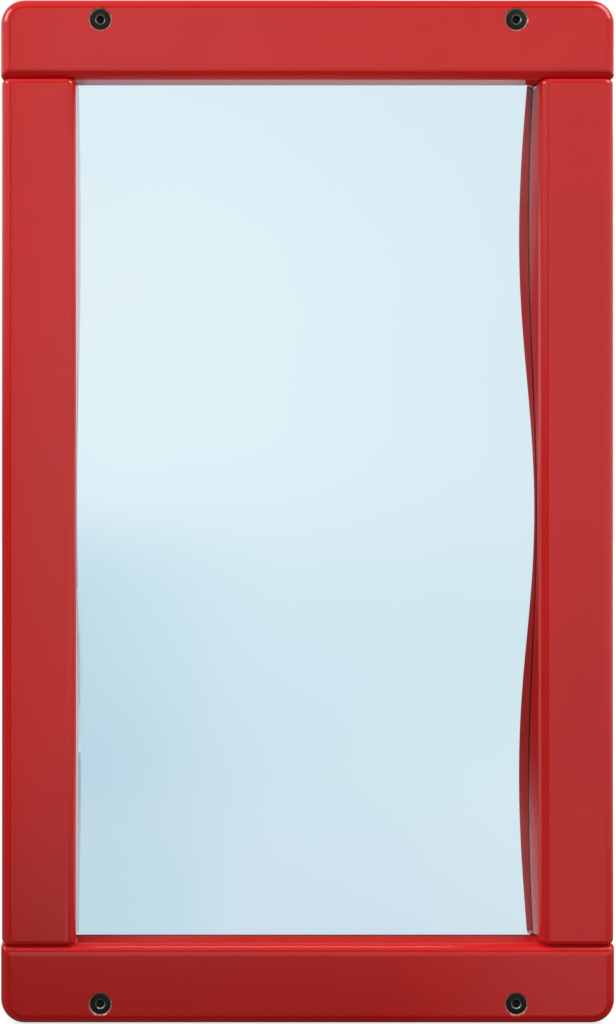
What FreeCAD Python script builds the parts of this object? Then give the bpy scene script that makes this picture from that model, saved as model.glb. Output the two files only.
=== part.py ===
import FreeCAD, Part
import math
import os
import re

import Sketcher

# Wavy mirror wall panel: a lacquered frame of two rails and two stiles, and a mirror sheet bent into a wave.
# The origin is the centre of the back face, which lies on the wall. +X is right, +Z up, the front faces -Y.

SIZES = [
    ("panel_width", 360, "rails, end to end"),
    ("panel_height", 600, "outer edge of one rail to that of the other"),
    ("panel_depth", 40, "front face to back face"),
    ("rail_height", 46.5, "outer edge of a rail to its joint with the stiles"),
    ("stile_width", 43.6, "outer face of a stile to its inner face"),
    ("rail_overhang", 0.5, "rail end past the outer face of the stile"),
    ("corner_radius", 14, "outer corners of the rails, seen from the front"),
    ("edge_radius", 6, "rounding of the front edges"),
    ("end_radius", 3, "rounding of the stile ends"),
    ("corner_easing", 2.5, "rail corners at the joints, seen from the front"),
    ("back_chamfer", 1, "back edges of the bars"),
    ("mirror_thickness", 2, "mirror sheet"),
    ("wave_length", 335, "crest to crest"),
    ("wave_height", 18.8, "crest to hollow"),
    ("groove_width", 4, "grooves that hold the sheet"),
    ("groove_depth", 6, "grooves that hold the sheet"),
    ("groove_back_wall", 3, "wood between the hollows of the groove and the back recess"),
    ("mirror_clearance", 0.3, "sheet to the groove wall that it leans on"),
    ("mirror_edge_gap", 1, "sheet edge to the bottom of the groove"),
    ("recess_margin", 16, "overlap of the back recess on the bars"),
    ("recess_corner_radius", 8, "corners of the back recess"),
    ("back_panel_thickness", 3, "board in the back recess"),
    ("back_panel_sink", 0.5, "board below the back face"),
    ("back_panel_clearance", 0.5, "board to the wall of the recess"),
    ("back_screw_inset", 6, "wall of the recess to a back screw"),
    ("back_screw_end_inset", 88, "end of a stile to a back screw"),
    ("back_screw_diameter", 3, "shank of a back screw"),
    ("back_screw_head", 6, "head of a back screw"),
    ("back_screw_length", 16, "head to tip of a back screw"),
    ("back_screw_slot_length", 3, "arms of the cross recess, tip to tip"),
    ("back_screw_slot_width", 0.8, "arms of the cross recess"),
    ("back_screw_slot_depth", 1, "cross recess"),
    ("back_screw_clearance", 0.1, "on the diameter of a back screw's hole"),
    ("back_screw_tip_gap", 1, "tip of a back screw to the bottom of its hole"),
    ("dowel_diameter", 8, "dowel"),
    ("dowel_length", 40, "dowel, half in each bar"),
    ("dowel_chamfer", 1, "dowel ends"),
    ("dowel_clearance", 0.1, "glue room on the hole's diameter"),
    ("dowel_end_gap", 1, "dowel end to the bottom of its hole"),
    ("dowel_inset", 12, "outer face of the stile to the outer dowel"),
    ("dowel_spacing", 16, "outer dowel to inner dowel"),
    ("screw_end_inset", 58.5, "end of a rail to a fixing screw"),
    ("screw_inset", 12.5, "outer edge of a rail to a fixing screw"),
    ("screw_diameter", 6, "plain shank of a fixing screw, inside the rail"),
    ("thread_diameter", 5.9, "thread of a fixing screw, behind the back face"),
    ("screw_length", 70, "head to tip of a fixing screw"),
    ("screw_head", 12, "head of a fixing screw"),
    ("screw_head_rim", 0.3, "straight rim of the head"),
    ("screw_tip_chamfer", 0.8, "tip of a fixing screw"),
    ("socket_width", 4, "hexagon socket across its flats"),
    ("socket_depth", 2.5, "hexagon socket"),
    ("screw_hole_clearance", 0.6, "on the hole's diameter"),
    ("countersink_mouth", 14, "countersink at the front face"),
    ("screw_seat_clearance", 0.1, "cone of a screw head to its countersink"),
]
NAMES = {name for name, number, note in SIZES}

# Lengths worked out from the sizes
OPENING_HALF_WIDTH = "(panel_width / 2 - rail_overhang - stile_width)"
OPENING_HALF_HEIGHT = "(panel_height / 2 - rail_height)"
RECESS_DEPTH = "(back_panel_thickness + back_panel_sink)"
MIRROR_REACH = "(groove_depth - mirror_edge_gap)"
MIRROR_RISE = "(wave_height / 2)"
GROOVE_RISE = f"({MIRROR_RISE} + (groove_width - mirror_thickness) / 2 - mirror_clearance)"
MIRROR_LINE = f"(-{RECESS_DEPTH} - groove_back_wall - groove_width / 2 - {GROOVE_RISE})"
SCREW_X = "(panel_width / 2 - screw_end_inset)"
SCREW_HOLE = "(screw_diameter + screw_hole_clearance)"
SCREW_SINK = "((countersink_mouth - screw_head) / 2 - screw_head_rim - screw_seat_clearance)"
DOWEL_HOLE = "(dowel_diameter + dowel_clearance)"
DOWEL_HOLE_DEPTH = "(dowel_length / 2 + dowel_end_gap)"
BACK_SCREW_HOLE = "(back_screw_diameter + back_screw_clearance)"
BACK_SCREW_HOLE_DEPTH = "(back_panel_sink + back_screw_length + back_screw_tip_gap)"
BACK_SCREW_MOUTH = "(back_screw_head + 2 * screw_seat_clearance)"

COUNTERSINK_ANGLE = 90
TINY = 1e-6

doc = FreeCAD.newDocument("mirror_wall_panel")
sheet = doc.addObject("Spreadsheet::Sheet", "sizes")
for row, (name, number, note) in enumerate(SIZES, start=1):
    sheet.set(f"A{row}", note)
    sheet.set(f"B{row}", str(number))
    sheet.setAlias(f"B{row}", name)
doc.recompute()


def sized(text):
    """The expression with each size led by the name of its sheet."""
    return re.sub(r"[a-z_]+", lambda word: f"sizes.{word[0]}" if word[0] in NAMES else word[0], text)


def value(text):
    return float(sheet.evalExpression(sized(text)))


def bind(holder, path, text):
    holder.setExpression(path, sized(text))


# Sketches

def new_sketch(body, plane, offset="0"):
    """A sketch on one of the body's own origin planes, moved along its normal."""
    sketch = body.newObject("Sketcher::SketchObject", f"{body.Name}_sketch")
    support = next(feature for feature in body.Origin.OriginFeatures if feature.Role == plane)
    sketch.AttachmentSupport = [(support, "")]
    sketch.MapMode = "FlatFace"
    bind(sketch, "AttachmentOffset.Base.z", offset)
    return sketch


def pin(sketch, element, end, across, up):
    """Hold one point of a sketch at its two coordinates."""
    for kind, axis, text in (("DistanceX", -2, across), ("DistanceY", -1, up)):
        number = value(text)
        if abs(number) < TINY:
            sketch.addConstraint(Sketcher.Constraint("PointOnObject", element, end, axis))
        elif number > 0:
            index = sketch.addConstraint(Sketcher.Constraint(kind, -1, 1, element, end, number))
            bind(sketch, f"Constraints[{index}]", text)
        else:
            index = sketch.addConstraint(Sketcher.Constraint(kind, element, end, -1, 1, -number))
            bind(sketch, f"Constraints[{index}]", f"-({text})")


def arc_between(start, stop, turn, radius):
    """The shorter arc from start to stop, turning left or right."""
    chord = stop - start
    toward_centre = FreeCAD.Vector(-chord.y, chord.x, 0).normalize()
    if turn == "right":
        toward_centre = -toward_centre
        start, stop = stop, start
    centre = (start + stop) / 2 + toward_centre * math.sqrt(max(radius ** 2 - chord.Length ** 2 / 4, 0))
    first = math.atan2(start.y - centre.y, start.x - centre.x)
    last = math.atan2(stop.y - centre.y, stop.x - centre.x)
    if last < first:
        last += 2 * math.pi
    return Part.ArcOfCircle(Part.Circle(centre, FreeCAD.Vector(0, 0, 1), radius), first, last)


def outline(sketch, corners):
    """A closed outline. A corner is (across, up), or (across, up, turn, radius) where an arc leaves it."""
    ends = []
    for corner, follower in zip(corners, corners[1:] + corners[:1]):
        start = FreeCAD.Vector(value(corner[0]), value(corner[1]), 0)
        stop = FreeCAD.Vector(value(follower[0]), value(follower[1]), 0)
        if len(corner) == 2:
            element = sketch.addGeometry(Part.LineSegment(start, stop), False)
            ends.append((element, 1, 2))
        else:
            turn, radius = corner[2:]
            element = sketch.addGeometry(arc_between(start, stop, turn, value(radius)), False)
            ends.append((element, 1, 2) if turn == "left" else (element, 2, 1))
            index = sketch.addConstraint(Sketcher.Constraint("Radius", element, value(radius)))
            bind(sketch, f"Constraints[{index}]", radius)
    for (element, start, stop), (follower, first, last) in zip(ends, ends[1:] + ends[:1]):
        sketch.addConstraint(Sketcher.Constraint("Coincident", element, stop, follower, first))
    for corner, (element, start, stop) in zip(corners, ends):
        pin(sketch, element, start, corner[0], corner[1])


def rectangle(sketch, left, right, low, high):
    outline(sketch, [(left, low), (right, low), (right, high), (left, high)])


def rounded_rectangle(sketch, half_width, half_height, radius):
    """A rectangle about the sketch's origin, with its four corners rounded."""
    outline(sketch, [
        (f"{radius} - {half_width}", f"-{half_height}"),
        (f"{half_width} - {radius}", f"-{half_height}", "left", radius),
        (half_width, f"{radius} - {half_height}"),
        (half_width, f"{half_height} - {radius}", "left", radius),
        (f"{half_width} - {radius}", half_height),
        (f"{radius} - {half_width}", half_height, "left", radius),
        (f"-{half_width}", f"{half_height} - {radius}"),
        (f"-{half_width}", f"{radius} - {half_height}", "left", radius),
    ])


def circles(sketch, centres, diameter):
    for across, up in centres:
        centre = FreeCAD.Vector(value(across), value(up), 0)
        circle = Part.Circle(centre, FreeCAD.Vector(0, 0, 1), value(diameter) / 2)
        element = sketch.addGeometry(circle, False)
        index = sketch.addConstraint(Sketcher.Constraint("Diameter", element, value(diameter)))
        bind(sketch, f"Constraints[{index}]", diameter)
        pin(sketch, element, 3, across, up)


# Features

def new_body(label):
    return doc.addObject("PartDesign::Body", label)


def pad(body, sketch, length, symmetric=False):
    feature = body.newObject("PartDesign::Pad", f"{body.Name}_pad")
    feature.Profile = sketch
    feature.SideType = "Symmetric" if symmetric else "One side"
    bind(feature, "Length", length)
    doc.recompute()
    return feature


def pocket(body, sketch, depth, along_normal=False):
    """Cut against the sketch's normal, or along it, and make sure that something was cut."""
    volume = body.Shape.Volume
    feature = body.newObject("PartDesign::Pocket", f"{body.Name}_pocket")
    feature.Profile = sketch
    feature.Reversed = along_normal
    bind(feature, "Length", depth)
    doc.recompute()
    if feature.Shape.Volume > volume - TINY:
        raise RuntimeError(f"{feature.Name} cuts nothing")
    return feature


def countersunk_holes(body, sketch, diameter, mouth, along_normal=False):
    """Through holes at the sketch's circles, each with a countersink at the sketch's plane."""
    doc.recompute()
    volume = body.Shape.Volume
    feature = body.newObject("PartDesign::Hole", f"{body.Name}_holes")
    feature.Profile = sketch
    feature.Reversed = along_normal
    feature.DepthType = "ThroughAll"
    feature.HoleCutType = "Countersink"
    feature.HoleCutCustomValues = True
    feature.HoleCutCountersinkAngle = COUNTERSINK_ANGLE
    bind(feature, "Diameter", diameter)
    bind(feature, "HoleCutDiameter", mouth)
    doc.recompute()
    if feature.Shape.Volume > volume - TINY:
        raise RuntimeError(f"{feature.Name} cuts nothing")
    return feature


def dress_edges(body, kind, size_name, size, chosen):
    """Round or chamfer the edges whose middle point and direction are chosen."""
    base = body.Tip
    edges = []
    for number, edge in enumerate(base.Shape.Edges, start=1):
        if edge.Degenerated:
            continue
        middle = edge.valueAt((edge.FirstParameter + edge.LastParameter) / 2)
        along = edge.tangentAt((edge.FirstParameter + edge.LastParameter) / 2)
        if chosen(middle, along):
            edges.append(f"Edge{number}")
    feature = body.newObject(f"PartDesign::{kind}", f"{body.Name}_{kind}")
    feature.Base = (base, edges)
    bind(feature, size_name, size)
    doc.recompute()
    return feature


def round_edges(body, radius, chosen):
    return dress_edges(body, "Fillet", "Radius", radius, chosen)


def chamfer_edges(body, size, chosen):
    return dress_edges(body, "Chamfer", "Size", size, chosen)


def close_to(number, text):
    return abs(number - value(text)) < 0.001


def revolve(body, corners):
    """Turn a half profile, drawn in the XZ plane, round the Z axis."""
    sketch = new_sketch(body, "XZ_Plane")
    outline(sketch, corners)
    feature = body.newObject("PartDesign::Revolution", f"{body.Name}_turned")
    feature.Profile = sketch
    feature.ReferenceAxis = (sketch, ["V_Axis"])
    feature.Angle = 360
    doc.recompute()
    return feature


def put(body, across, deep, up, axis=(0, 0, 1), angle=0):
    """Place a finished piece in the panel: turned about an axis, then moved to its three coordinates."""
    body.Placement = FreeCAD.Placement(FreeCAD.Vector(), FreeCAD.Rotation(FreeCAD.Vector(*axis), angle))
    for path, text in (("x", across), ("y", deep), ("z", up)):
        bind(body, f"Placement.Base.{path}", text)


# The wave: tangent arcs of one radius, with a crest at mid height. Crests stand forward, hollows back.

def wave_radius(rise):
    return f"((wave_length / 4) ^ 2 / (2 * {rise}) + {rise} / 2)"


def wave_line_at(height, rise, offset):
    """Depth coordinate, at a height, of the line along the wave, offset towards the front."""
    turn = round(value(height) / value("wave_length / 2"))
    reach = f"({height} - {turn} * wave_length / 2)"
    radius = wave_radius(rise)
    if turn % 2 == 0:
        return f"{MIRROR_LINE} - {rise} + {radius} - sqrt(({radius} + {offset}) ^ 2 - {reach} ^ 2)"
    return f"{MIRROR_LINE} + {rise} - {radius} + sqrt(({radius} - {offset}) ^ 2 - {reach} ^ 2)"


def wave_band(sketch, thickness, rise, half_height):
    """A band of even thickness along the wave, cut level at both ends, in the YZ plane.

    Arc 0 is the crest at mid height, odd arcs are hollows, and arcs meet at odd quarters of the wave length.
    The front edge, side 1, is drawn upwards, and the back edge, side -1, downwards.
    """
    radius = wave_radius(rise)
    lean = f"({thickness} / 2 * wave_length / 4 / {radius})"
    step = f"({thickness} / 2 * ({radius} - {rise}) / {radius})"
    last = int((value(half_height) + value("wave_length / 4")) // value("wave_length / 2"))
    corners = []
    for side in (1, -1):
        offset = f"({side} * {thickness} / 2)"
        first_end, last_end = f"{-side} * {half_height}", f"{side} * {half_height}"
        arcs = range(-side * last, side * last + side, side)
        starts = [(wave_line_at(first_end, rise, offset), first_end)]
        for arc in arcs[:-1]:
            quarter = 2 * arc + side
            slant = side if quarter % 4 == 1 else -side
            height = f"{quarter} * wave_length / 4 + {slant} * {lean}"
            starts.append((f"{MIRROR_LINE} - {side} * {step}", height))
        for start, arc in zip(starts, arcs):
            crest = arc % 2 == 0
            turn = "right" if crest == (side > 0) else "left"
            corners.append((*start, turn, f"({radius} {'+' if crest else '-'} {offset})"))
        corners.append((wave_line_at(last_end, rise, offset), last_end))
    outline(sketch, corners)


# Rails: bars over the full width. Drawn with the joint at z = 0 and the outer edge above it.

DOWEL_PLACES = {
    "outer": "(panel_width / 2 - rail_overhang - dowel_inset)",
    "inner": "(panel_width / 2 - rail_overhang - dowel_inset - dowel_spacing)",
}
BACK_SCREW_REACH = "(recess_margin - back_screw_inset)"
BACK_SCREW_Z = f"({OPENING_HALF_HEIGHT} - back_screw_end_inset)"


def back_screw_holes(body, centres):
    """Blind holes for the back screws, cut from the back face."""
    sketch = new_sketch(body, "XZ_Plane")
    circles(sketch, centres, BACK_SCREW_HOLE)
    pocket(body, sketch, BACK_SCREW_HOLE_DEPTH, along_normal=True)


def make_rail(label, up, angle):
    body = new_body(label)
    front = new_sketch(body, "XZ_Plane")
    outline(front, [
        ("-panel_width / 2", "0"),
        ("panel_width / 2", "0"),
        ("panel_width / 2", "rail_height - corner_radius", "left", "corner_radius"),
        ("panel_width / 2 - corner_radius", "rail_height"),
        ("corner_radius - panel_width / 2", "rail_height", "left", "corner_radius"),
        ("-panel_width / 2", "rail_height - corner_radius"),
    ])
    pad(body, front, "panel_depth")
    round_edges(body, "edge_radius", lambda middle, along: close_to(middle.y, "-panel_depth"))
    round_edges(body, "corner_easing", lambda middle, along: (
        close_to(middle.z, "0") and close_to(abs(middle.x), "panel_width / 2") and abs(along.y) > 0.9))
    chamfer_edges(body, "back_chamfer", lambda middle, along: close_to(middle.y, "0"))

    # straight groove for the end of the sheet, stopped past the stiles' grooves, with round ends
    groove = new_sketch(body, "XY_Plane")
    half = f"({OPENING_HALF_WIDTH} + groove_depth)"
    middle = f"({wave_line_at(f'({OPENING_HALF_HEIGHT} + {MIRROR_REACH} / 2)', MIRROR_RISE, '0')})"
    near = f"{middle} - groove_width / 2"
    far = f"{middle} + groove_width / 2"
    outline(groove, [
        (f"-{half}", near),
        (half, near, "left", "groove_width / 2"),
        (f"{half} + groove_width / 2", middle, "left", "groove_width / 2"),
        (half, far),
        (f"-{half}", far, "left", "groove_width / 2"),
        (f"-{half} - groove_width / 2", middle, "left", "groove_width / 2"),
    ])
    pocket(body, groove, "groove_depth", along_normal=True)

    recess = new_sketch(body, "XZ_Plane")
    recess_half = f"({OPENING_HALF_WIDTH} + recess_margin)"
    rounded_rectangle(recess, recess_half, "recess_margin", "recess_corner_radius")
    pocket(body, recess, RECESS_DEPTH, along_normal=True)

    dowels = new_sketch(body, "XY_Plane")
    for place in DOWEL_PLACES.values():
        circles(dowels, [(place, "-panel_depth / 2"), (f"-{place}", "-panel_depth / 2")], DOWEL_HOLE)
    pocket(body, dowels, DOWEL_HOLE_DEPTH, along_normal=True)
    back_screw_holes(body, [("0", BACK_SCREW_REACH)])

    screws = new_sketch(body, "XZ_Plane", offset="panel_depth")
    circles(screws, [(f"{side}{SCREW_X}", "rail_height - screw_inset") for side in ("", "-")], SCREW_HOLE)
    countersunk_holes(body, screws, SCREW_HOLE, "countersink_mouth")
    put(body, "0", "0", up, axis=(0, 1, 0), angle=angle)
    return body


# Stiles: bars between the rails. Drawn with the inner face at x = 0 and mid height at z = 0.

def make_stile(label, across, angle):
    body = new_body(label)
    section = new_sketch(body, "XY_Plane")
    rectangle(section, "0", "stile_width", "-panel_depth", "0")
    pad(body, section, f"2 * {OPENING_HALF_HEIGHT}", symmetric=True)
    round_edges(body, "edge_radius", lambda middle, along: (
        close_to(middle.y, "-panel_depth") and abs(along.z) > 0.9))
    round_edges(body, "end_radius", lambda middle, along: (
        close_to(abs(middle.z), OPENING_HALF_HEIGHT) and middle.y < -TINY))
    chamfer_edges(body, "back_chamfer", lambda middle, along: close_to(middle.y, "0"))

    groove = new_sketch(body, "YZ_Plane")
    wave_band(groove, "groove_width", GROOVE_RISE, f"({OPENING_HALF_HEIGHT} + groove_depth)")
    pocket(body, groove, "groove_depth", along_normal=True)

    recess = new_sketch(body, "XZ_Plane")
    past_end = f"({OPENING_HALF_HEIGHT} + recess_margin)"
    rectangle(recess, "-recess_margin", "recess_margin", f"-{past_end}", past_end)
    pocket(body, recess, RECESS_DEPTH, along_normal=True)
    back_screw_holes(body, [(BACK_SCREW_REACH, f"{end}{BACK_SCREW_Z}") for end in ("", "-")])

    dowels = new_sketch(body, "XY_Plane", offset=OPENING_HALF_HEIGHT)
    centres = [(f"{place} - {OPENING_HALF_WIDTH}", "-panel_depth / 2") for place in DOWEL_PLACES.values()]
    circles(dowels, centres, DOWEL_HOLE)
    top_holes = pocket(body, dowels, DOWEL_HOLE_DEPTH)
    both_ends = body.newObject("PartDesign::Mirrored", f"{label}_both_ends")
    both_ends.Originals = [top_holes]
    middle = next(feature for feature in body.Origin.OriginFeatures if feature.Role == "XY_Plane")
    both_ends.MirrorPlane = (middle, [""])
    body.Tip = both_ends
    put(body, across, "0", "0", axis=(0, 1, 0), angle=angle)
    return body


# Mirror: one sheet bent along the wave, its four edges in the grooves

def make_mirror(label):
    body = new_body(label)
    profile = new_sketch(body, "YZ_Plane")
    wave_band(profile, "mirror_thickness", MIRROR_RISE, f"({OPENING_HALF_HEIGHT} + {MIRROR_REACH})")
    pad(body, profile, f"2 * ({OPENING_HALF_WIDTH} + {MIRROR_REACH})", symmetric=True)
    return body


# Back panel: a thin board in the recess, screwed down near its edge

STILE_SCREW_X = f"({OPENING_HALF_WIDTH} + {BACK_SCREW_REACH})"
RAIL_SCREW_Z = f"({OPENING_HALF_HEIGHT} + {BACK_SCREW_REACH})"
BACK_SCREW_PLACES = []
for end in ("-", ""):
    BACK_SCREW_PLACES += [(f"{side}{STILE_SCREW_X}", f"{end}{BACK_SCREW_Z}") for side in ("-", "")]
    BACK_SCREW_PLACES.append(("0", f"{end}{RAIL_SCREW_Z}"))


def make_back_panel(label):
    body = new_body(label)
    board = new_sketch(body, "XZ_Plane")
    rounded_rectangle(
        board,
        f"({OPENING_HALF_WIDTH} + recess_margin - back_panel_clearance)",
        f"({OPENING_HALF_HEIGHT} + recess_margin - back_panel_clearance)",
        "(recess_corner_radius - back_panel_clearance)",
    )
    pad(body, board, "back_panel_thickness")
    holes = new_sketch(body, "XZ_Plane")
    circles(holes, BACK_SCREW_PLACES, BACK_SCREW_HOLE)
    countersunk_holes(body, holes, BACK_SCREW_HOLE, BACK_SCREW_MOUTH, along_normal=True)
    put(body, "0", "-back_panel_sink", "0")
    return body


# Dowels: plain beech pins with chamfered ends, half in the rail and half in the stile

def make_dowel(label, across, up):
    body = new_body(label)
    revolve(body, [
        ("0", "-dowel_length / 2"),
        ("dowel_diameter / 2 - dowel_chamfer", "-dowel_length / 2"),
        ("dowel_diameter / 2", "dowel_chamfer - dowel_length / 2"),
        ("dowel_diameter / 2", "dowel_length / 2 - dowel_chamfer"),
        ("dowel_diameter / 2 - dowel_chamfer", "dowel_length / 2"),
        ("0", "dowel_length / 2"),
    ])
    put(body, across, "-panel_depth / 2", up)
    return body


# Fixing screws: countersunk screws with a hexagon socket, from the front through the rails into the wall.
# The shank is plain as far as the back face, and threaded behind it.

def make_fixing_screw(label, across, up):
    body = new_body(label)
    cone_end = "-screw_head_rim - (screw_head - screw_diameter) / 2"
    thread_start = f"({SCREW_SINK} - panel_depth)"
    revolve(body, [
        ("0", "0"),
        ("0", "-screw_length"),
        ("thread_diameter / 2 - screw_tip_chamfer", "-screw_length"),
        ("thread_diameter / 2", "screw_tip_chamfer - screw_length"),
        ("thread_diameter / 2", thread_start),
        ("screw_diameter / 2", thread_start),
        ("screw_diameter / 2", cone_end),
        ("screw_head / 2", "-screw_head_rim"),
        ("screw_head / 2", "0"),
    ])
    socket = new_sketch(body, "XY_Plane")
    corner = "socket_width / sqrt(3)"
    outline(socket, [
        (corner, "0"),
        (f"{corner} / 2", "socket_width / 2"),
        (f"-{corner} / 2", "socket_width / 2"),
        (f"-{corner}", "0"),
        (f"-{corner} / 2", "-socket_width / 2"),
        (f"{corner} / 2", "-socket_width / 2"),
    ])
    pocket(body, socket, "socket_depth")
    put(body, across, f"{SCREW_SINK} - panel_depth", up, axis=(1, 0, 0), angle=90)
    return body


# Back screws: small pointed countersunk screws with a cross recess

def make_back_screw(label, across, up):
    body = new_body(label)
    cone_end = "-(back_screw_head - back_screw_diameter) / 2"
    revolve(body, [
        ("0", "0"),
        ("0", "-back_screw_length"),
        ("back_screw_diameter / 2", "back_screw_diameter - back_screw_length"),
        ("back_screw_diameter / 2", cone_end),
        ("back_screw_head / 2", "0"),
    ])
    cross = new_sketch(body, "XY_Plane")
    long, wide = "back_screw_slot_length / 2", "back_screw_slot_width / 2"
    outline(cross, [
        (long, f"-{wide}"), (long, wide), (wide, wide), (wide, long),
        (f"-{wide}", long), (f"-{wide}", wide), (f"-{long}", wide), (f"-{long}", f"-{wide}"),
        (f"-{wide}", f"-{wide}"), (f"-{wide}", f"-{long}"), (wide, f"-{long}"), (wide, f"-{wide}"),
    ])
    pocket(body, cross, "back_screw_slot_depth")
    put(body, across, "-back_panel_sink", up, axis=(1, 0, 0), angle=-90)
    return body


# The panel put together

SIDES = {"left": "-", "right": ""}
ENDS = {"top": "", "bottom": "-"}

pieces = [
    make_rail("top_rail", OPENING_HALF_HEIGHT, 0),
    make_rail("bottom_rail", f"-{OPENING_HALF_HEIGHT}", 180),
    make_stile("right_stile", OPENING_HALF_WIDTH, 0),
    make_stile("left_stile", f"-{OPENING_HALF_WIDTH}", 180),
    make_mirror("mirror_sheet"),
    make_back_panel("back_panel"),
]
for end_name, end in ENDS.items():
    for side_name, side in SIDES.items():
        for place_name, place in DOWEL_PLACES.items():
            name = f"dowel_{end_name}_{side_name}_{place_name}"
            pieces.append(make_dowel(name, f"{side}{place}", f"{end}{OPENING_HALF_HEIGHT}"))
        name = f"fixing_screw_{end_name}_{side_name}"
        height = f"{end}(panel_height / 2 - screw_inset)"
        pieces.append(make_fixing_screw(name, f"{side}{SCREW_X}", height))
for number, (across, up) in enumerate(BACK_SCREW_PLACES, start=1):
    pieces.append(make_back_screw(f"back_screw_{number}", across, up))
doc.recompute()

failed = [item.Name for item in doc.Objects if {"Invalid", "Error"} & set(item.State)]
failed += [piece.Label for piece in pieces if piece.Shape.isNull() or not piece.Shape.isValid()]
if failed:
    raise RuntimeError(f"failed: {failed}")

os.makedirs("parts", exist_ok=True)
for piece in pieces:
    piece.Shape.exportStep(f"parts/{piece.Label}.step")
    print(f"{piece.Label}: {len(piece.Shape.Solids)} solid, {piece.Shape.Volume:.1f} mm3")
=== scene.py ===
import math

import bmesh
import bpy
from mathutils import Euler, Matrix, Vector


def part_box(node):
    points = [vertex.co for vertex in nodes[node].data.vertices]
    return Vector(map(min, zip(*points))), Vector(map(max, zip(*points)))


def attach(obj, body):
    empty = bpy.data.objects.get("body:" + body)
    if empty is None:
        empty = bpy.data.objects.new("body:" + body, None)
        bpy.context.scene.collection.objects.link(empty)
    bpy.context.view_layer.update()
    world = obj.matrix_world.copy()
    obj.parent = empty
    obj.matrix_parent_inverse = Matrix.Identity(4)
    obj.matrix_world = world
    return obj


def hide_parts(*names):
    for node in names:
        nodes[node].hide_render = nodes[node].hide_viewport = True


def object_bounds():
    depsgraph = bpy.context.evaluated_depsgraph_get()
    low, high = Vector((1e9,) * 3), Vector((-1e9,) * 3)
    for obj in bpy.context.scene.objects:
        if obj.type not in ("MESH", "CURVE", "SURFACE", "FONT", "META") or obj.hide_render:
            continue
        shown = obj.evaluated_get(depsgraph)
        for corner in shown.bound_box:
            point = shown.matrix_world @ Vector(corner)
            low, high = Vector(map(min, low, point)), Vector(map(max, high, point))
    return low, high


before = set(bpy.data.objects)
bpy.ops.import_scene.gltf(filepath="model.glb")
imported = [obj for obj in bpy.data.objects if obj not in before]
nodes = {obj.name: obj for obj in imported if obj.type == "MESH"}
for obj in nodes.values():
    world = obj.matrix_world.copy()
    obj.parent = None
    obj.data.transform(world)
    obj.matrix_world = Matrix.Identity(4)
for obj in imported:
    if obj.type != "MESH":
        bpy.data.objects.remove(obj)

cad_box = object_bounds()
scene = bpy.context.scene


# Frame: two rails over the full width and two stiles butted between them, in solid beech.
# The bars are rounded over, glued on dowels and sprayed in a gloss red lacquer before the screws go in.
# The countersinks for the wall screws are cut after the lacquer, so their cones show the bare wood.

def add(tree, kind, inputs=None, **settings):
    """A node in a tree. An input is linked where it is given a socket, and filled where it is given a value."""
    made = tree.nodes.new(kind)
    for name, setting in settings.items():
        setattr(made, name, setting)
    for name, source in (inputs or {}).items():
        if isinstance(source, bpy.types.NodeSocket):
            tree.links.new(source, made.inputs[name])
        else:
            made.inputs[name].default_value = source
    return made


def math_of(tree, operation, *values, clamp=False):
    """The result of one sum."""
    return add(tree, "ShaderNodeMath", dict(enumerate(values)), operation=operation, use_clamp=clamp).outputs[0]


def blend_of(tree, share, first, second):
    """A colour between two colours."""
    made = add(tree, "ShaderNodeMix", {0: share, 6: first, 7: second}, data_type="RGBA")
    return made.outputs[2]


def step_of(tree, value, low, high, from_value=0.0, to_value=1.0):
    """A smooth step of a value between two of its levels."""
    made = add(tree, "ShaderNodeMapRange", {
        "Value": value, "From Min": low, "From Max": high, "To Min": from_value, "To Max": to_value,
    }, interpolation_type="SMOOTHSTEP")
    return made.outputs[0]


def new_material(name):
    """A material with a Principled shader, and the object's own coordinates in metres."""
    material = bpy.data.materials.new(name)
    material.use_nodes = True
    tree = material.node_tree
    shader = next(made for made in tree.nodes if made.type == "BSDF_PRINCIPLED")
    place = add(tree, "ShaderNodeTexCoord").outputs["Object"]
    return material, tree, shader, place


def new_group(name, inputs, outputs):
    """A shader node group with its sockets, and its first and last nodes."""
    group = bpy.data.node_groups.new(name, "ShaderNodeTree")
    for label, kind in inputs:
        group.interface.new_socket(name=label, in_out="INPUT", socket_type=kind)
    for label, kind in outputs:
        group.interface.new_socket(name=label, in_out="OUTPUT", socket_type=kind)
    return group, group.nodes.new("NodeGroupInput").outputs, group.nodes.new("NodeGroupOutput").inputs


# settled dust: scattered specks, each in its own cell, of uneven size
dust, dust_in, dust_out = new_group(
    "settled_dust",
    [("Place", "NodeSocketVector"), ("Cells", "NodeSocketFloat"), ("Share", "NodeSocketFloat"),
     ("Speck", "NodeSocketFloat")],
    [("Mask", "NodeSocketFloat")],
)
cell = add(dust, "ShaderNodeTexVoronoi", {"Vector": dust_in["Place"], "Scale": dust_in["Cells"]}, feature="F1")
lot = add(dust, "ShaderNodeSeparateColor", {"Color": cell.outputs["Color"]}).outputs
kept = math_of(dust, "LESS_THAN", lot[0], dust_in["Share"])
radius = math_of(dust, "MULTIPLY", dust_in["Speck"], math_of(dust, "MULTIPLY_ADD", lot[1], 0.8, 0.4))
near = math_of(dust, "SUBTRACT", 1.0, math_of(dust, "DIVIDE", cell.outputs["Distance"], radius), clamp=True)
dust.links.new(math_of(dust, "MULTIPLY", kept, math_of(dust, "POWER", near, 0.5)), dust_out["Mask"])


def dust_on(tree, place, cells, share, speck):
    """Mask of the settled dust: cells to the metre, the share that hold a speck, and its size in parts of a cell."""
    inputs = {"Place": place, "Cells": cells, "Share": share, "Speck": speck}
    return add(tree, "ShaderNodeGroup", inputs, node_tree=dust).outputs["Mask"]


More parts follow.
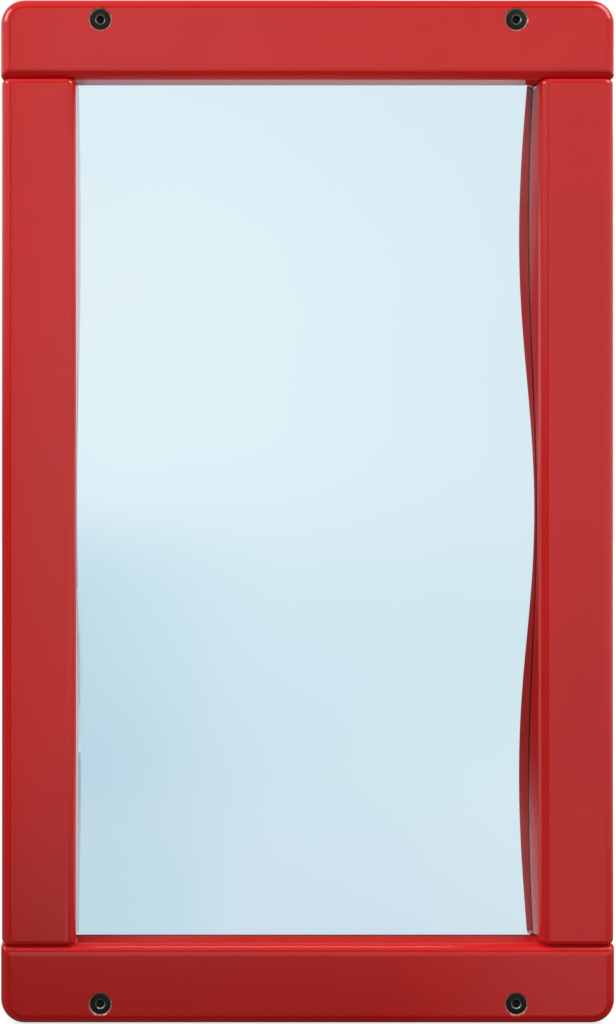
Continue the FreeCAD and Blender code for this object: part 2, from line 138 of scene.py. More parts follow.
def off_screw_axis(tree, axes):
    """Distance from the axis of the nearest wall screw. The four stand alike in the four corners."""
    across = math_of(tree, "SUBTRACT", math_of(tree, "ABSOLUTE", axes[0]), screw_x)
    up = math_of(tree, "SUBTRACT", math_of(tree, "ABSOLUTE", axes[2]), screw_z)
    return math_of(tree, "SQRT", math_of(tree, "ADD", math_of(tree, "MULTIPLY", across, across),
                                         math_of(tree, "MULTIPLY", up, up)))


front_y = cad_box[0].y
screw_nodes = [f"fixing_screw_{end}_{side}" for end in ("top", "bottom") for side in ("left", "right")]
screw_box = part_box("fixing_screw_top_right")
screw_x = (screw_box[0].x + screw_box[1].x) / 2
screw_z = (screw_box[0].z + screw_box[1].z) / 2
bare_radius = 0.0066
bare_edge_from = 0.00055
bare_edge_to = 0.00095
bare_depth = 0.01
stain_reach = 0.0016
wave_length = 0.335
sheet_thickness = 0.002
sheet_low, sheet_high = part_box("mirror_sheet")
sheet_middle = (sheet_low.y + sheet_high.y) / 2
wave_swing = (sheet_high.y - sheet_low.y - sheet_thickness) / 2
opening_half_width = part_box("right_stile")[0].x
opening_half_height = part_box("top_rail")[0].z
opening_ease = 0.0004
groove_mouth = 0.0021
mouth_blur = 0.0005

red_thin = (0.62, 0.0118, 0.0092, 1)
red_full = (0.66, 0.0136, 0.0106, 1)
red_in_low_shade = (0.47, 0.0100, 0.0080, 1)
red_dusty = (0.80, 0.42, 0.40, 1)
red_in_shade = (0.085, 0.002, 0.0015, 1)
wood_pore = (0.26, 0.19, 0.12, 1)
wood_pale = (0.52, 0.42, 0.31, 1)

lacquer, tree, shader, place = new_material("red_gloss_lacquer")
axes = add(tree, "ShaderNodeSeparateXYZ", {0: place}).outputs
stain = add(tree, "ShaderNodeTexNoise", {"Vector": place, "Scale": 330.0, "Detail": 2.0}).outputs["Fac"]
bare_edge = math_of(tree, "MULTIPLY_ADD", stain, stain_reach, off_screw_axis(tree, axes))
in_cone = step_of(tree, bare_edge, bare_radius + bare_edge_from, bare_radius + bare_edge_to, 1.0, 0.0)
in_front = math_of(tree, "LESS_THAN", axes[1], front_y + bare_depth)
bare = math_of(tree, "MULTIPLY", in_cone, in_front)
film = add(tree, "ShaderNodeTexNoise", {"Vector": place, "Scale": 9.0, "Detail": 3.0}).outputs["Fac"]
red = blend_of(tree, step_of(tree, film, 0.35, 0.65), red_thin, red_full)

# painted shade: the bars are painted darker low down and to the left, most of all on their flat front, and specks of
# dust are caught all over
low_down = math_of(tree, "MULTIPLY_ADD", axes[0], 0.35, math_of(tree, "MULTIPLY_ADD", film, 0.04, axes[2]))
# painted shade, not dirt: a darker red blended in towards the lower left
low_shade = math_of(tree, "MULTIPLY", step_of(tree, low_down, -0.32, -0.15, 1.0, 0.0),
                step_of(tree, axes[1], front_y + 0.0002, front_y + 0.0015, 1.0, 0.25))
red = blend_of(tree, low_shade, red, red_in_low_shade)
specks = dust_on(tree, place, 42.0, 0.22, 0.018)
red = blend_of(tree, math_of(tree, "MULTIPLY", specks, 0.55), red, red_dusty)

# painted shade: the mouth of the wave groove, just ahead of the sheet, is painted as a dark line of shade on the
# inner faces
in_width = math_of(tree, "LESS_THAN", math_of(tree, "ABSOLUTE", axes[0]), opening_half_width + opening_ease)
in_height = math_of(tree, "LESS_THAN", math_of(tree, "ABSOLUTE", axes[2]), opening_half_height + opening_ease)
inside = math_of(tree, "MULTIPLY", in_width, in_height)
wave = math_of(tree, "COSINE", math_of(tree, "MULTIPLY", axes[2], math.tau / wave_length))
sheet_front = math_of(tree, "MULTIPLY_ADD", wave, -wave_swing, sheet_middle - sheet_thickness / 2)
ahead_of_sheet = math_of(tree, "SUBTRACT", sheet_front, axes[1])
at_mouth = step_of(tree, ahead_of_sheet, groove_mouth - mouth_blur, groove_mouth, 1.0, 0.0)
red = blend_of(tree, math_of(tree, "MULTIPLY", inside, at_mouth), red, red_in_shade)

pores = add(tree, "ShaderNodeTexNoise", {"Vector": place, "Scale": 900.0, "Detail": 3.0}).outputs["Fac"]
wood = blend_of(tree, pores, wood_pore, wood_pale)
tree.links.new(blend_of(tree, bare, red, wood), shader.inputs["Base Color"])

# the right stile's inner face, which hands hardly rub, keeps a smoother lacquer, most of all low down
gloss = step_of(tree, film, 0.3, 0.7, 0.10, 0.14)
on_right = math_of(tree, "GREATER_THAN", axes[0], opening_half_width - opening_ease)
untouched = math_of(tree, "MULTIPLY", inside, on_right)
smoother = math_of(tree, "MULTIPLY", untouched, step_of(tree, axes[2], -0.15, 0.10, 0.42, 0.22))
gloss = math_of(tree, "MULTIPLY", gloss, math_of(tree, "SUBTRACT", 1.0, smoother))
gloss = math_of(tree, "MULTIPLY_ADD", specks, 0.3, gloss)
tree.links.new(math_of(tree, "MULTIPLY_ADD", bare, 0.55, gloss, clamp=True), shader.inputs["Roughness"])
peel = add(tree, "ShaderNodeTexNoise", {"Vector": place, "Scale": 260.0, "Detail": 1.0}).outputs["Fac"]
skin = math_of(tree, "MULTIPLY_ADD", specks, 0.8, peel)
bump = add(tree, "ShaderNodeBump", {"Height": skin, "Strength": 0.35, "Distance": 0.00004})
tree.links.new(bump.outputs["Normal"], shader.inputs["Normal"])
shader.inputs["IOR"].default_value = 1.47

for name in ("top_rail", "bottom_rail", "left_stile", "right_stile"):
    nodes[name].material_slots[0].material = lacquer


# Mirror: one sheet of acrylic mirror, sprung into the wave grooves of the stiles before the frame is closed.
# The silvering is under the clear face. Its back and its edges carry the maker's grey backing paint.
# The sheet's two ends stand in straight grooves in the rails.

silver_cool = (0.80, 0.915, 0.968, 1)
silver_clear = (0.815, 0.925, 0.972, 1)
silver_reflecting_dark = (0.711, 0.826, 0.898, 1)
silver_reflecting_darker = (0.633, 0.795, 0.860, 1)
paint_dark = (0.22, 0.23, 0.24, 1)
paint_pale = (0.30, 0.31, 0.32, 1)
sheet_columns = 9
sheet_rows = 181

silver, tree, shader, place = new_material("acrylic_mirror")
haze = add(tree, "ShaderNodeTexNoise", {"Vector": place, "Scale": 5.0, "Detail": 4.0}).outputs["Fac"]
tint = blend_of(tree, step_of(tree, haze, 0.3, 0.7), silver_cool, silver_clear)
axes = add(tree, "ShaderNodeSeparateXYZ", {0: place}).outputs
# painted reflection: the silvering is painted darker and bluer towards the lower left, in place of a darker room
# mirrored there
low_and_left = math_of(tree, "MULTIPLY_ADD", axes[0], 0.64, math_of(tree, "MULTIPLY_ADD", haze, 0.05, axes[2]))
dark_reflection_low_left = step_of(tree, low_and_left, -0.245, -0.045, 1.0, 0.0)
tint = blend_of(tree, dark_reflection_low_left, tint, silver_reflecting_dark)
# painted reflection: a patch low at the left is painted darker still, in place of a darker reflection
dark_reflection_patch = math_of(tree, "MULTIPLY", step_of(tree, axes[2], -0.235, -0.175, 1.0, 0.0),
                  step_of(tree, axes[0], -0.09, -0.03, 1.0, 0.0))
tint = blend_of(tree, dark_reflection_patch, tint, silver_reflecting_darker)
tree.links.new(tint, shader.inputs["Base Color"])
shader.inputs["Metallic"].default_value = 0.97
specks = dust_on(tree, place, 60.0, 0.2, 0.012)
tree.links.new(math_of(tree, "MULTIPLY_ADD", specks, 0.2, step_of(tree, haze, 0.3, 0.7, 0.015, 0.03)),
               shader.inputs["Roughness"])
stretched = add(tree, "ShaderNodeMapping", {"Vector": place, "Scale": (4.0, 10.0, 26.0)}).outputs[0]
ripple = add(tree, "ShaderNodeTexNoise", {"Vector": stretched, "Scale": 1.0, "Detail": 1.0}).outputs["Fac"]
bump = add(tree, "ShaderNodeBump", {"Height": ripple, "Strength": 0.3, "Distance": 0.0002})
tree.links.new(bump.outputs["Normal"], shader.inputs["Normal"])

backing, tree, shader, place = new_material("grey_backing_paint")
spray = add(tree, "ShaderNodeTexNoise", {"Vector": place, "Scale": 700.0, "Detail": 3.0}).outputs["Fac"]
tree.links.new(blend_of(tree, spray, paint_dark, paint_pale), shader.inputs["Base Color"])
tree.links.new(step_of(tree, spray, 0.3, 0.7, 0.5, 0.62), shader.inputs["Roughness"])


def new_shape_tree(name, inputs):
    """A Geometry Nodes tree with named size inputs, its first and last nodes, and each input's identifier."""
    shape = bpy.data.node_groups.new(name, "GeometryNodeTree")
    shape.interface.new_socket(name="Geometry", in_out="INPUT", socket_type="NodeSocketGeometry")
    keys = {}
    for label, kind in inputs:
        keys[label] = shape.interface.new_socket(name=label, in_out="INPUT", socket_type=kind).identifier
    shape.interface.new_socket(name="Geometry", in_out="OUTPUT", socket_type="NodeSocketGeometry")
    return shape, shape.nodes.new("NodeGroupInput").outputs, shape.nodes.new("NodeGroupOutput").inputs, keys


def shaped(name, mesh, shape, keys, sizes):
    """The plain mesh that a Geometry Nodes tree makes of a mesh, as a finished object at the origin."""
    piece = bpy.data.objects.new(name, mesh)
    scene.collection.objects.link(piece)
    modifier = piece.modifiers.new("shape", "NODES")
    modifier.node_group = shape
    for label, size in sizes.items():
        modifier[keys[label]] = size
    bpy.context.view_layer.update()
    made = bpy.data.meshes.new_from_object(piece.evaluated_get(bpy.context.evaluated_depsgraph_get()))
    made.name = name
    piece.modifiers.remove(modifier)
    piece.data = made
    return piece


sheet, size, result, keys = new_shape_tree("sheet_bent_to_a_wave", [
    ("Width", "NodeSocketFloat"), ("Height", "NodeSocketFloat"), ("Thickness", "NodeSocketFloat"),
    ("Wave Length", "NodeSocketFloat"), ("Wave Height", "NodeSocketFloat"), ("Mean Depth", "NodeSocketFloat"),
    ("Columns", "NodeSocketInt"), ("Rows", "NodeSocketInt"),
])
flat = add(sheet, "GeometryNodeMeshGrid", {
    "Size X": size["Width"], "Size Y": size["Height"], "Vertices X": size["Columns"], "Vertices Y": size["Rows"],
})
spot = add(sheet, "ShaderNodeSeparateXYZ", {0: add(sheet, "GeometryNodeInputPosition").outputs[0]}).outputs
turn = math_of(sheet, "MULTIPLY", math_of(sheet, "DIVIDE", spot[1], size["Wave Length"]), math.tau)
swing = math_of(sheet, "MULTIPLY", math_of(sheet, "COSINE", turn), size["Wave Height"])
depth = math_of(sheet, "MULTIPLY_ADD", swing, -0.5, size["Mean Depth"])
bent = add(sheet, "GeometryNodeSetPosition", {
    "Geometry": flat.outputs["Mesh"],
    "Position": add(sheet, "ShaderNodeCombineXYZ", {0: spot[0], 1: depth, 2: spot[1]}).outputs[0],
})
normal = add(sheet, "GeometryNodeInputNormal").outputs[0]
inward = math_of(sheet, "MULTIPLY", size["Thickness"], -0.5)
back_step = add(sheet, "ShaderNodeVectorMath", {0: normal, "Scale": inward}, operation="SCALE").outputs[0]
back = add(sheet, "GeometryNodeSetPosition", {"Geometry": bent.outputs[0], "Offset": back_step})
back_face = add(sheet, "GeometryNodeFlipFaces", {"Mesh": back.outputs[0]})
thick = add(sheet, "GeometryNodeExtrudeMesh", {
    "Mesh": back.outputs[0], "Offset Scale": size["Thickness"], "Individual": False,
})
rims = add(sheet, "GeometryNodeSetShadeSmooth", {
    "Geometry": thick.outputs["Mesh"], "Selection": thick.outputs["Side"], "Shade Smooth": False,
})
both = add(sheet, "GeometryNodeJoinGeometry")
sheet.links.new(back_face.outputs[0], both.inputs[0])
sheet.links.new(rims.outputs[0], both.inputs[0])
closed = add(sheet, "GeometryNodeMergeByDistance", {"Geometry": both.outputs[0], "Distance": 1e-6})
real = add(sheet, "GeometryNodeRealizeInstances", {"Geometry": closed.outputs[0]})
painted = add(sheet, "GeometryNodeSetMaterial", {"Geometry": real.outputs[0], "Material": backing})
silvered = add(sheet, "GeometryNodeSetMaterial", {
    "Geometry": painted.outputs[0], "Selection": thick.outputs["Top"], "Material": silver,
})
sheet.links.new(silvered.outputs[0], result[0])

mirror = shaped("acrylic_mirror_sheet", bpy.data.meshes.new("acrylic_mirror_sheet"), sheet, keys, {
    "Width": sheet_high.x - sheet_low.x, "Height": sheet_high.z - sheet_low.z, "Thickness": sheet_thickness,
    "Wave Length": wave_length, "Wave Height": 2 * wave_swing, "Mean Depth": sheet_middle,
    "Columns": sheet_columns, "Rows": sheet_rows,
})
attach(mirror, "root")
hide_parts("mirror_sheet")


# Wall screws: countersunk screws with a hexagon socket, in blackened steel, through the rails into the wall.
# The shank is plain inside the rail and threaded behind it.
# A key has worn the mouth of each socket bright in patches.

head_radius = 0.006
head_rim = 0.0003
head_easing = 0.0002
head_easing_mid = 0.00006
shank_radius = 0.003
thread_radius = 0.00295
thread_depth = 0.00055
thread_pitch = 0.001
rows_per_turn = 8
tip_chamfer = 0.0008
socket_flats = 0.004
socket_mouth = 0.0029
socket_depth = 0.0025
socket_tip_radius = 0.0004
socket_tip_depth = 0.0006
screw_length = screw_box[1].y - screw_box[0].y
thread_start = -screw_box[0].y
thread_end = screw_length - tip_chamfer
facets = 48
steel_black = (0.005, 0.0065, 0.006, 1)
steel_grey = (0.012, 0.0145, 0.0135, 1)
steel_rubbed = (0.38, 0.37, 0.35, 1)
rubbed_radius = socket_mouth - 0.0002
rubbed_half_width = 0.00025
rubbed_fade_end = 0.00055
rubbed_raggedness = 0.0003
rubbed_depth = 0.0009
thread_flank = 2.4
crease_angle = math.radians(32)

black_steel, tree, shader, place = new_material("blackened_steel")
grain = add(tree, "ShaderNodeTexNoise", {"Vector": place, "Scale": 1400.0, "Detail": 4.0}).outputs["Fac"]
axes = add(tree, "ShaderNodeSeparateXYZ", {0: place}).outputs
from_ring = math_of(tree, "ABSOLUTE", math_of(tree, "SUBTRACT", off_screw_axis(tree, axes), rubbed_radius))
ragged = math_of(tree, "MULTIPLY_ADD", grain, rubbed_raggedness, from_ring)
rubbed = step_of(tree, ragged, rubbed_half_width, rubbed_fade_end, 1.0, 0.0)
at_head = math_of(tree, "LESS_THAN", axes[1], screw_box[0].y + rubbed_depth)
patchy = add(tree, "ShaderNodeTexNoise", {"Vector": place, "Scale": 260.0, "Detail": 2.0}).outputs["Fac"]
rubbed = math_of(tree, "MULTIPLY", math_of(tree, "MULTIPLY", rubbed, at_head), step_of(tree, patchy, 0.30, 0.54))
black = blend_of(tree, grain, steel_black, steel_grey)
tree.links.new(blend_of(tree, rubbed, black, steel_rubbed), shader.inputs["Base Color"])
tree.links.new(rubbed, shader.inputs["Metallic"])
shader.inputs["Specular IOR Level"].default_value = 0.2
tree.links.new(step_of(tree, grain, 0.3, 0.7, 0.42, 0.55), shader.inputs["Roughness"])
bump = add(tree, "ShaderNodeBump", {"Height": grain, "Strength": 0.3, "Distance": 0.00003})
tree.links.new(bump.outputs["Normal"], shader.inputs["Normal"])

screw = bmesh.new()


def hexagon_reach(angle):
    """Radius of the socket's hexagon at an angle."""
    return socket_flats / 2 / math.cos((angle + math.pi / 6) % (math.pi / 3) - math.pi / 6)


def screw_ring(reach, deep):
    """A ring of points round the screw's axis, which runs along +Y from the head."""
    points = []
    for number in range(facets):
        angle = math.tau * number / facets
        points.append(screw.verts.new((reach(angle) * math.cos(angle), deep(angle), reach(angle) * math.sin(angle))))
    return points


def even(number):
    """A radius or depth that is the same all round."""
    return lambda angle: number


def thread_reach(deep):
    """Radius of the thread at a depth: a ridge that climbs round the shank and runs out at both ends."""
    runout = min(1.0, (deep - thread_start) / thread_pitch, (thread_end - deep) / thread_pitch)

    def reach(angle):
        phase = ((deep - thread_start) / thread_pitch - angle / math.tau) % 1.0
        ridge = min(1.0, thread_flank * min(phase, 1.0 - phase))
        return thread_radius - thread_depth * (1.0 - ridge) * max(runout, 0.0)
    return reach


tip_radius = thread_radius - tip_chamfer
cone_end = head_rim + head_radius - shank_radius
rings = [
    screw_ring(even(socket_tip_radius), even(socket_depth + socket_tip_depth)),
    screw_ring(hexagon_reach, even(socket_depth)),
    screw_ring(hexagon_reach, lambda angle: socket_mouth - hexagon_reach(angle)),
    screw_ring(even(socket_mouth), even(0.0)),
    screw_ring(even(head_radius - head_easing), even(0.0)),
    screw_ring(even(head_radius - head_easing_mid), even(head_easing_mid)),
    screw_ring(even(head_radius), even(head_easing)),
    screw_ring(even(head_radius), even(head_rim)),
    screw_ring(even(shank_radius), even(cone_end)),
    screw_ring(even(shank_radius), even(thread_start)),
]
thread_rows = rows_per_turn * round((thread_end - thread_start) / thread_pitch)
for row in range(thread_rows + 1):
    deep = thread_start + (thread_end - thread_start) * row / thread_rows
    rings.append(screw_ring(thread_reach(deep), even(deep)))
rings.append(screw_ring(even(tip_radius), even(screw_length)))
for ring, follower in zip(rings, rings[1:]):
    for number in range(facets):
        after = (number + 1) % facets
        screw.faces.new((ring[number], ring[after], follower[after], follower[number]))
screw.faces.new(rings[0])
screw.faces.new(rings[-1])
bmesh.ops.recalc_face_normals(screw, faces=screw.faces)
for face in screw.faces:
    face.smooth = True
screw_mesh = bpy.data.meshes.new("wall_screw")
screw.to_mesh(screw_mesh)
screw.free()
screw_mesh.set_sharp_from_angle(angle=crease_angle)
one_screw = bpy.data.objects.new("wall_screw", screw_mesh)

spread, size, result, keys = new_shape_tree("screws_at_their_holes", [
    ("Screw", "NodeSocketObject"), ("Most Turn", "NodeSocketFloat"), ("Seed", "NodeSocketInt"),
])
pattern = add(spread, "GeometryNodeObjectInfo", {"Object": size["Screw"]})
turned = add(spread, "FunctionNodeRandomValue", {3: size["Most Turn"], "Seed": size["Seed"]}, data_type="FLOAT")
angles = add(spread, "ShaderNodeCombineXYZ", {1: turned.outputs[1]})
placed = add(spread, "GeometryNodeInstanceOnPoints", {
    "Points": size["Geometry"], "Instance": pattern.outputs["Geometry"],
    "Rotation": add(spread, "FunctionNodeEulerToRotation", {0: angles.outputs[0]}).outputs[0],
})
real = add(spread, "GeometryNodeRealizeInstances", {"Geometry": placed.outputs[0]})
blackened = add(spread, "GeometryNodeSetMaterial", {"Geometry": real.outputs[0], "Material": black_steel})
spread.links.new(blackened.outputs[0], result[0])

holes = bpy.data.meshes.new("wall_screw_holes")
corners = [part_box(name) for name in screw_nodes]
holes.from_pydata([((low.x + high.x) / 2, low.y, (low.z + high.z) / 2) for low, high in corners], [], [])
wall_screws = shaped("wall_screws", holes, spread, keys, {
    "Screw": one_screw, "Most Turn": math.radians(60), "Seed": 4,
})
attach(wall_screws, "root")
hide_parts(*screw_nodes)
bpy.data.objects.remove(one_screw)


# Dowels: plain beech pins with chamfered ends, two in each of the four butt joints.
# Each is glued half into a rail and half into the end of a stile, and the closed joint hides it.

beech_late = (0.46, 0.31, 0.18, 1)
beech_early = (0.66, 0.50, 0.33, 1)

beech, tree, shader, place = new_material("beech")
along = add(tree, "ShaderNodeMapping", {"Vector": place, "Scale": (900.0, 900.0, 40.0)}).outputs[0]
fibre = add(tree, "ShaderNodeTexNoise", {"Vector": along, "Scale": 1.0, "Detail": 4.0}).outputs["Fac"]
tree.links.new(blend_of(tree, fibre, beech_late, beech_early), shader.inputs["Base Color"])
tree.links.new(step_of(tree, fibre, 0.3, 0.7, 0.55, 0.7), shader.inputs["Roughness"])
bump = add(tree, "ShaderNodeBump", {"Height": fibre, "Strength": 0.3, "Distance": 0.0001})
tree.links.new(bump.outputs["Normal"], shader.inputs["Normal"])
for name in nodes:
    if name.startswith("dowel_"):
        nodes[name].material_slots[0].material = beech


# Back panel: 3 mm hardboard in a recess, which keeps dust and fingers off the back of the mirror.
# Its rough side, with the print of the press screen, faces the wall.

board_dark = (0.115, 0.058, 0.028, 1)
board_pale = (0.27, 0.155, 0.082, 1)
board_clouded = (0.20, 0.105, 0.05, 1)
screen_pitch = 0.0016

hardboard, tree, shader, place = new_material("hardboard")
fibres = add(tree, "ShaderNodeTexNoise", {"Vector": place, "Scale": 420.0, "Detail": 6.0}).outputs["Fac"]
clouds = add(tree, "ShaderNodeTexNoise", {"Vector": place, "Scale": 14.0, "Detail": 3.0}).outputs["Fac"]
brown = blend_of(tree, step_of(tree, fibres, 0.25, 0.75), board_dark, board_pale)
brown = blend_of(tree, math_of(tree, "MULTIPLY", clouds, 0.5), brown, board_clouded)
tree.links.new(brown, shader.inputs["Base Color"])
tree.links.new(step_of(tree, fibres, 0.3, 0.7, 0.7, 0.85), shader.inputs["Roughness"])
axes = add(tree, "ShaderNodeSeparateXYZ", {0: place}).outputs
wires = [math_of(tree, "SINE", math_of(tree, "MULTIPLY", axes[axis], math.tau / screen_pitch)) for axis in (0, 2)]
print_height = math_of(tree, "MULTIPLY_ADD", math_of(tree, "MULTIPLY", *wires), 0.5, fibres)
bump = add(tree, "ShaderNodeBump", {"Height": print_height, "Strength": 0.6, "Distance": 0.0002})
tree.links.new(bump.outputs["Normal"], shader.inputs["Normal"])
nodes["back_panel"].material_slots[0].material = hardboard


# Back screws: six small countersunk screws with a cross recess, in zinc-plated steel.
# Two stand in each stile and one in each rail, through the edge of the back panel, and hold it in its recess.

zinc_dull = (0.52, 0.54, 0.57, 1)
zinc_bright = (0.72, 0.72, 0.70, 1)

zinc, tree, shader, place = new_material("zinc_plated_steel")
bloom = add(tree, "ShaderNodeTexNoise", {"Vector": place, "Scale": 1100.0, "Detail": 3.0}).outputs["Fac"]
tree.links.new(blend_of(tree, bloom, zinc_dull, zinc_bright), shader.inputs["Base Color"])
shader.inputs["Metallic"].default_value = 1.0
tree.links.new(step_of(tree, bloom, 0.3, 0.7, 0.28, 0.42), shader.inputs["Roughness"])
for name in nodes:
    if name.startswith("back_screw_"):
        nodes[name].material_slots[0].material = zinc


# Studio: a pale paper floor that glows, less near the panel and white far off, with a pale room round it that is
# darker low down and straight ahead.
# One wide screen of light is for the mirror alone, and one is for the gloss of the frame.
# Two lamps stand high at the sides, where no rounded edge of a stile mirrors them.

floor_half = 4.0
floor_near = 0.3
floor_far = 1.8
floor_gap = 0.0003
floor_z = cad_box[0].z - floor_gap
paper_dull = (0.35, 0.36, 0.37, 1)
paper_plain = (0.38, 0.39, 0.40, 1)
glow_near = (0.74, 0.75, 0.76, 1)
glow_far = (0.97, 0.97, 0.97, 1)
screen_low = (0.748, 0.861, 0.902, 1)
screen_high = (0.951, 0.974, 0.986, 1)
screen_right = (0.814, 0.886, 0.91, 1)
screen_cloud = (0.697, 0.825, 0.88, 1)
screen_ended = (0, 0, 0, 1)
gloss_high_left = (1.03, 1.03, 1.07, 1)
gloss_high_right = (0.84, 0.84, 0.89, 1)
gloss_low = (0.68, 0.68, 0.70, 1)
gloss_foot_left = (0.22, 0.22, 0.21, 1)
gloss_foot_right = (0.70, 0.70, 0.70, 1)

floor_mesh = bpy.data.meshes.new("pale_floor")
floor_mesh.from_pydata(
    [(-floor_half, -floor_half, floor_z), (floor_half, -floor_half, floor_z),
     (floor_half, floor_half, floor_z), (-floor_half, floor_half, floor_z)], [], [(0, 1, 2, 3)])
floor = bpy.data.objects.new("pale_floor", floor_mesh)
scene.collection.objects.link(floor)
paper, tree, shader, place = new_material("pale_paper")
mottle = add(tree, "ShaderNodeTexNoise", {"Vector": place, "Scale": 3.0, "Detail": 2.0}).outputs["Fac"]
tree.links.new(blend_of(tree, mottle, paper_dull, paper_plain), shader.inputs["Base Color"])
# painted light: the floor glows, dimmer near the panel so its shadows show, and white far off
from_panel = add(tree, "ShaderNodeVectorMath", {0: place}, operation="LENGTH").outputs["Value"]
far_off = step_of(tree, from_panel, floor_near, floor_far)
tree.links.new(blend_of(tree, far_off, glow_near, glow_far), shader.inputs["Emission Color"])
shader.inputs["Emission Strength"].default_value = 1.0
shader.inputs["Roughness"].default_value = 0.8
floor_mesh.materials.append(paper)
floor.visible_diffuse = False
floor.visible_glossy = False
floor.visible_shadow = False


def soft_light(name, radiance, width, height, place, target):
    """An area light of an even radiance, which looks at a target."""
    lamp = bpy.data.lights.new(name, "AREA")
    lamp.shape = "RECTANGLE"
    lamp.size, lamp.size_y = width, height
    lamp.energy = radiance * math.pi * width * height
    holder = bpy.data.objects.new(name, lamp)
    scene.collection.objects.link(holder)
    holder.location = place
    holder.rotation_euler = (Vector(target) - Vector(place)).to_track_quat("-Z", "Y").to_euler()
    return holder


def lit_by_place(lamp):
    """The node tree of a lamp's glow, the glow, and the place on the lamp in metres with its three axes."""
    lamp.use_nodes = True
    tree = lamp.node_tree
    glow = next(made for made in tree.nodes if made.type == "EMISSION")
    place = add(tree, "ShaderNodeNewGeometry").outputs["Position"]
    return tree, glow, place, add(tree, "ShaderNodeSeparateXYZ", {0: place}).outputs


def square_of(tree, value, centre, reach):
    """Square of the distance from a centre, in parts of the reach."""
    from_centre = math_of(tree, "DIVIDE", math_of(tree, "SUBTRACT", value, centre), reach)
    return math_of(tree, "MULTIPLY", from_centre, from_centre)


mirror_alone = bpy.data.collections.new("mirror_alone")
mirror_alone.objects.link(mirror)
all_but_mirror = bpy.data.collections.new("all_but_mirror")
all_but_mirror.objects.link(mirror)
all_but_mirror.collection_objects[0].light_linking.link_state = "EXCLUDE"

# the mirror's screen: paler upwards and to the left, with one soft cloud low at the left, and faded out at the right
mirror_screen = soft_light("mirror_screen", 1.0, 0.854, 1.9, (0.193, -1.54, -0.05), (0.193, 0.0, -0.05))
mirror_screen.light_linking.receiver_collection = mirror_alone
tree, glow, place, spot = lit_by_place(mirror_screen.data)
pale = blend_of(tree, step_of(tree, spot[2], -1.25, 0.63), screen_low, screen_high)
pale = blend_of(tree, step_of(tree, spot[0], -0.22, 0.91, 0.0, 0.96), pale, screen_right)
from_cloud = math_of(tree, "SQRT", math_of(tree, "ADD", square_of(tree, spot[0], -0.228, 0.366),
                                           square_of(tree, spot[2], -0.72, 0.82)))
cloud = step_of(tree, from_cloud, 0.0, 1.0, 1.0, 0.0)
pale = blend_of(tree, cloud, pale, screen_cloud)
tree.links.new(blend_of(tree, step_of(tree, spot[0], 0.54, 0.62), pale, screen_ended), glow.inputs["Color"])

# round glows that the mirror alone shows, seen from the sides, in place of the floor
for name, radiance, reach, centre in (
    ("mirrored_floor_left", 0.60, 1.9, (-2.3, -1.6, -1.0)),
    ("mirrored_floor_right", 0.50, 2.0, (2.6, -1.5, -1.9)),
    ("mirrored_floor_ahead", 0.55, 1.1, (0.0, -1.3, -1.9)),
):
    glimpse = soft_light(name, radiance, 2 * reach, 2 * reach, centre, (0.0, 0.0, 0.0))
    glimpse.light_linking.receiver_collection = mirror_alone
    tree, glow, place, spot = lit_by_place(glimpse.data)
    away = add(tree, "ShaderNodeVectorMath", {0: place, 1: centre}, operation="DISTANCE").outputs["Value"]
    tree.links.new(step_of(tree, away, 0.2 * reach, reach, 1.0, 0.0), glow.inputs["Color"])

# the screen in the gloss of the frame: dark at its foot, apart from the right end
gloss_screen = soft_light("gloss_screen", 1.0, 1.8, 3.0, (0.375, -3.0, -0.1), (0.375, 0.0, -0.1))
gloss_screen.light_linking.receiver_collection = all_but_mirror
tree, glow, place, spot = lit_by_place(gloss_screen.data)
high = blend_of(tree, step_of(tree, spot[0], -0.025, 0.575), gloss_high_left, gloss_high_right)
pale = blend_of(tree, step_of(tree, spot[2], -1.1, 0.3), gloss_low, high)
foot = blend_of(tree, step_of(tree, spot[0], 0.575, 0.975), gloss_foot_left, gloss_foot_right)
tree.links.new(blend_of(tree, step_of(tree, spot[2], -1.42, -1.1), foot, pale), glow.inputs["Color"])

soft_light("overhead_light", 0.3, 1.4, 0.6, (0.1, -0.65, 1.0), (0.0, 0.0, 0.25))
soft_light("left_lamp", 9.0, 0.6, 0.6, (-1.1, -0.55, 1.0), (0.0, 0.0, 0.5))
right_lamp = soft_light("right_lamp", 5.4, 1.0, 1.0, (1.2, -0.65, 1.3), (0.0, 0.0, 0.4))
right_lamp.light_linking.receiver_collection = all_but_mirror

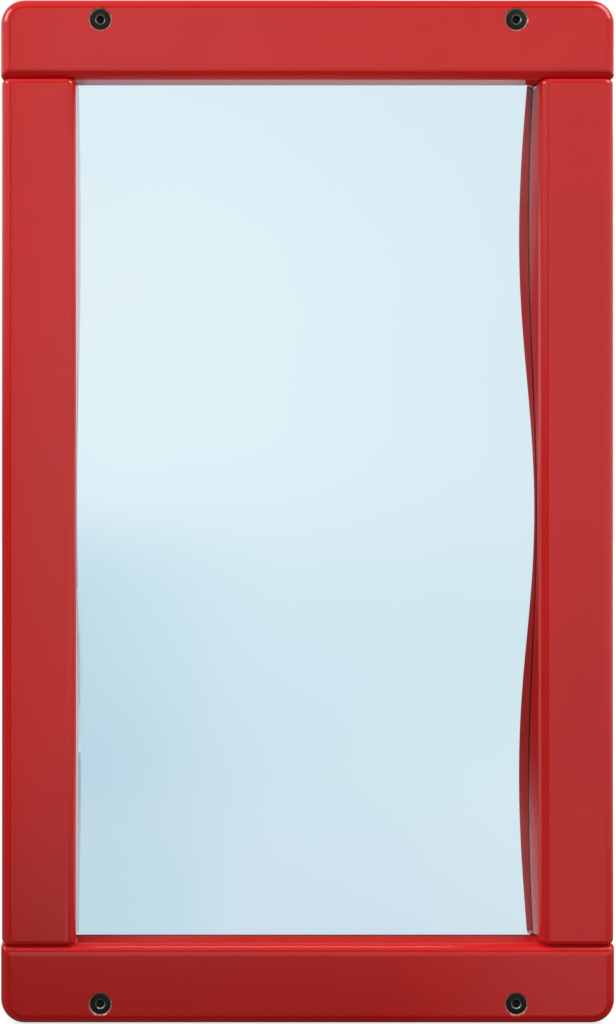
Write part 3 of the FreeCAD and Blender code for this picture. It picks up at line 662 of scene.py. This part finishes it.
# two strips stand in for the light that the mirror throws on the rails, and a screen for the left stile's inner face
for name, radiance, width, height, start, end, receiver, glossy in (
    ("thrown_down", 4.2, 0.27, 0.04, (0.0, -0.052, 0.02), (0.0, -0.052, -0.3), "bottom_rail", True),
    ("thrown_up", 7.0, 0.27, 0.04, (0.0, -0.052, -0.02), (0.0, -0.052, 0.3), "top_rail", False),
    ("low_screen", 0.75, 1.1, 2.2, (0.25, -3.0, -2.3), (0.25, 0.0, -2.3), "left_stile", True),
):
    lamp = soft_light(name, radiance, width, height, start, end)
    one_alone = bpy.data.collections.new(f"{receiver}_alone")
    one_alone.objects.link(nodes[receiver])
    lamp.light_linking.receiver_collection = one_alone
    lamp.visible_glossy = glossy

soft_light("back_light", 1.6, 1.4, 1.0, (0.9, 1.3, 1.0), (0.0, 0.0, 0.0))

world = bpy.data.worlds.new("pale_room")
scene.world = world
world.use_nodes = True
tree = world.node_tree
tree.nodes.clear()
axes = add(tree, "ShaderNodeSeparateXYZ", {0: add(tree, "ShaderNodeTexCoord").outputs["Generated"]}).outputs
left = step_of(tree, axes[2], -0.04, 0.18, 0.18, 1.0)
right = math_of(tree, "MULTIPLY", step_of(tree, axes[2], -0.4, -0.1, 0.08, 0.95),
                step_of(tree, axes[2], 0.17, 0.30, 1.0, 0.5))
to_right = step_of(tree, axes[0], -0.25, 0.25)
level = math_of(tree, "MULTIPLY_ADD", to_right, math_of(tree, "SUBTRACT", right, left), left)
level = math_of(tree, "MULTIPLY", level, step_of(tree, axes[2], 0.35, 0.75, 1.0, 0.45))
aside = step_of(tree, math_of(tree, "ABSOLUTE", axes[0]), 0.30, 0.42)
not_ahead = math_of(tree, "MAXIMUM", aside, step_of(tree, axes[1], -0.78, -0.55))
level = math_of(tree, "MULTIPLY", level, not_ahead)
seen = add(tree, "ShaderNodeLightPath").outputs["Is Camera Ray"]
level = math_of(tree, "MAXIMUM", level, seen)
shown = add(tree, "ShaderNodeBackground", {"Color": level})
tree.links.new(shown.outputs[0], add(tree, "ShaderNodeOutputWorld").inputs["Surface"])

scene.view_settings.view_transform = "Standard"


# Camera: square to the panel, as the photo was taken, a little left of its middle and above it.
# The shift brings the panel back into the middle of the frame.

camera_distance = 0.860
camera_x = -0.0839
camera_z = 0.0427
lens = bpy.data.cameras.new("photo_camera")
lens.lens = 51.8
lens.shift_x = 0.140
lens.shift_y = -0.0717
camera = bpy.data.objects.new("photo_camera", lens)
scene.collection.objects.link(camera)
camera.location = (camera_x, front_y - camera_distance, camera_z)
camera.rotation_euler = Euler((math.pi / 2, 0.0, 0.0))
scene.camera = camera
